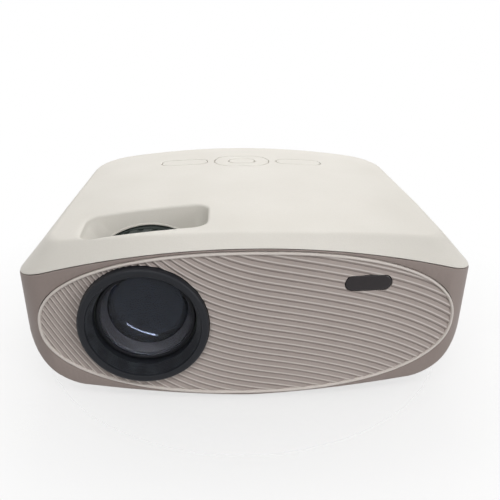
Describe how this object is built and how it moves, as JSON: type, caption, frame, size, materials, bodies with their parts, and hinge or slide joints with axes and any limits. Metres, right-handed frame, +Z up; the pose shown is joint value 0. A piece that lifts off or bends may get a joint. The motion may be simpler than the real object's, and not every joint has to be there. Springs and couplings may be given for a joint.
{
  "type": "home projector",
  "caption": "Compact home projector with a crowned cover, an oval ribbed front, a deep lens ring, a finger pocket with focus and keystone rings, roof keys, fans and rear sockets.",
  "frame": {"origin": "on the floor under the middle of the case", "axes": "+X across the front towards the infrared window, the lens looks along -Y, +Z up"},
  "size_m": [0.22, 0.1656, 0.091],
  "materials": {
    "cover": "fine matt moulding, off-white",
    "housing": "fine matt moulding, warm mauve-grey",
    "panel": "satin moulding, warm mauve-grey",
    "black": "satin black moulding",
    "dark_grip": "knurled dark grey moulding",
    "inner_black": "dull black moulding",
    "window": "dark tinted gloss",
    "glass": "clear coated glass",
    "keys": "satin moulding, off-white",
    "rubber": "matt black rubber",
    "board": "green solder mask",
    "steel": "plated sheet",
    "aluminium": "plain extruded",
    "brass": "turned",
    "foam": "open dark foam"
  },
  "bodies": {
    "case": {"top_cover": "cover", "lower_housing": "housing", "front_panel": "panel", "ir_window": "window", "ir_receiver": "board", "lens_bezel": "black", "lens_sleeve": "inner_black", "ring_clip": "steel", "optical_housing": "inner_black", "optical_lid": "inner_black", "field_lens_front": "glass", "field_lens_rear": "glass", "condenser_lens": "glass", "led_module": "aluminium", "heat_sink": "aluminium", "exhaust_fan_frame": "black", "panel_fan_frame": "black", "dust_filter": "foam", "power_board": "board", "main_board": "board", "keypad_board": "board", "key_mat": "rubber", "speaker_left": "black", "speaker_right": "black", "port_panel": "housing", "hdmi_socket": "steel", "usb_socket_lower": "steel", "usb_socket_upper": "steel", "av_jack": "black", "headphone_jack": "black", "power_inlet": "black", "rubber_foot_1": "rubber", "rubber_foot_2": "rubber", "rubber_foot_3": "rubber", "rubber_foot_4": "rubber", "tripod_insert": "brass", "case_screw_1": "steel", "case_screw_2": "steel", "case_screw_3": "steel", "case_screw_4": "steel"},
    "barrel": {"lens_barrel": "inner_black", "front_lens": "glass", "lens_spacer": "inner_black", "rear_lens": "glass", "lens_retainer": "inner_black"},
    "focus": {"focus_ring": "dark_grip"},
    "keystone": {"keystone_ring": "dark_grip"},
    "cell": {"keystone_cell": "inner_black", "lcd_panel": "glass"},
    "exhaust_rotor": {"exhaust_fan_rotor": "black"},
    "panel_rotor": {"panel_fan_rotor": "black"},
    "ok": {"ok_button": "keys"},
    "carrier": {"pad_carrier": "black"},
    "pad": {"direction_pad": "keys"},
    "key_left": {"left_key": "keys"},
    "key_right": {"right_key": "keys"},
    "foot_screw": {"screw_foot": "rubber"}
  },
  "joints": [
    {"name": "focus_turn", "type": "hinge", "parent": "case", "child": "focus", "pos_m": [-0.0503, -0.0567, 0.0455], "axis": [0, 1, 0], "range_deg": [-50, 50]},
    {"name": "lens_slide", "type": "slide", "parent": "case", "child": "barrel", "axis": [0, 1, 0], "range_m": [-0.0036, 0.0036]},
    {"name": "keystone_turn", "type": "hinge", "parent": "case", "child": "keystone", "pos_m": [-0.0503, -0.0462, 0.0455], "axis": [0, 1, 0], "range_deg": [-35, 35]},
    {"name": "cell_tilt", "type": "hinge", "parent": "case", "child": "cell", "pos_m": [-0.0503, -0.012, 0.0455], "axis": [1, 0, 0], "range_deg": [-4.6, 4.6]},
    {"name": "exhaust_spin", "type": "hinge", "parent": "case", "child": "exhaust_rotor", "pos_m": [-0.0503, 0.0636, 0.0455], "axis": [0, 1, 0], "continuous": true},
    {"name": "panel_fan_spin", "type": "hinge", "parent": "case", "child": "panel_rotor", "pos_m": [-0.007, 0.002, 0.0455], "axis": [1, 0, 0], "continuous": true},
    {"name": "ok_press", "type": "slide", "parent": "case", "child": "ok", "axis": [0, 0, -1], "range_m": [0, 0.0008], "stiffness_N_per_m": 200, "springref_m": -0.0005},
    {"name": "carrier_rock", "type": "hinge", "parent": "case", "child": "carrier", "pos_m": [0.0006, 0.043, 0.0853], "axis": [1, 0, 0], "range_deg": [-2, 2], "stiffness_Nm_per_rad": 0.1},
    {"name": "pad_rock", "type": "hinge", "parent": "carrier", "child": "pad", "pos_m": [0.0006, 0.043, 0.0871], "axis": [0, 1, 0], "range_deg": [-2, 2], "stiffness_Nm_per_rad": 0.1},
    {"name": "left_key_rock", "type": "hinge", "parent": "case", "child": "key_left", "pos_m": [-0.0359, 0.043, 0.0853], "axis": [0, 1, 0], "range_deg": [-2, 2], "stiffness_Nm_per_rad": 0.1},
    {"name": "right_key_rock", "type": "hinge", "parent": "case", "child": "key_right", "pos_m": [0.0371, 0.043, 0.0853], "axis": [0, 1, 0], "range_deg": [-2, 2], "stiffness_Nm_per_rad": 0.1},
    {"name": "foot_extend", "type": "slide", "parent": "case", "child": "foot_screw", "axis": [0, 0, -1], "range_m": [0, 0.012]}
  ],
  "couplings": [
    {"joint": "lens_slide", "follows": "focus_turn", "m_per_rad": 0.004},
    {"joint": "cell_tilt", "follows": "keystone_turn", "ratio": 0.13}
  ]
}
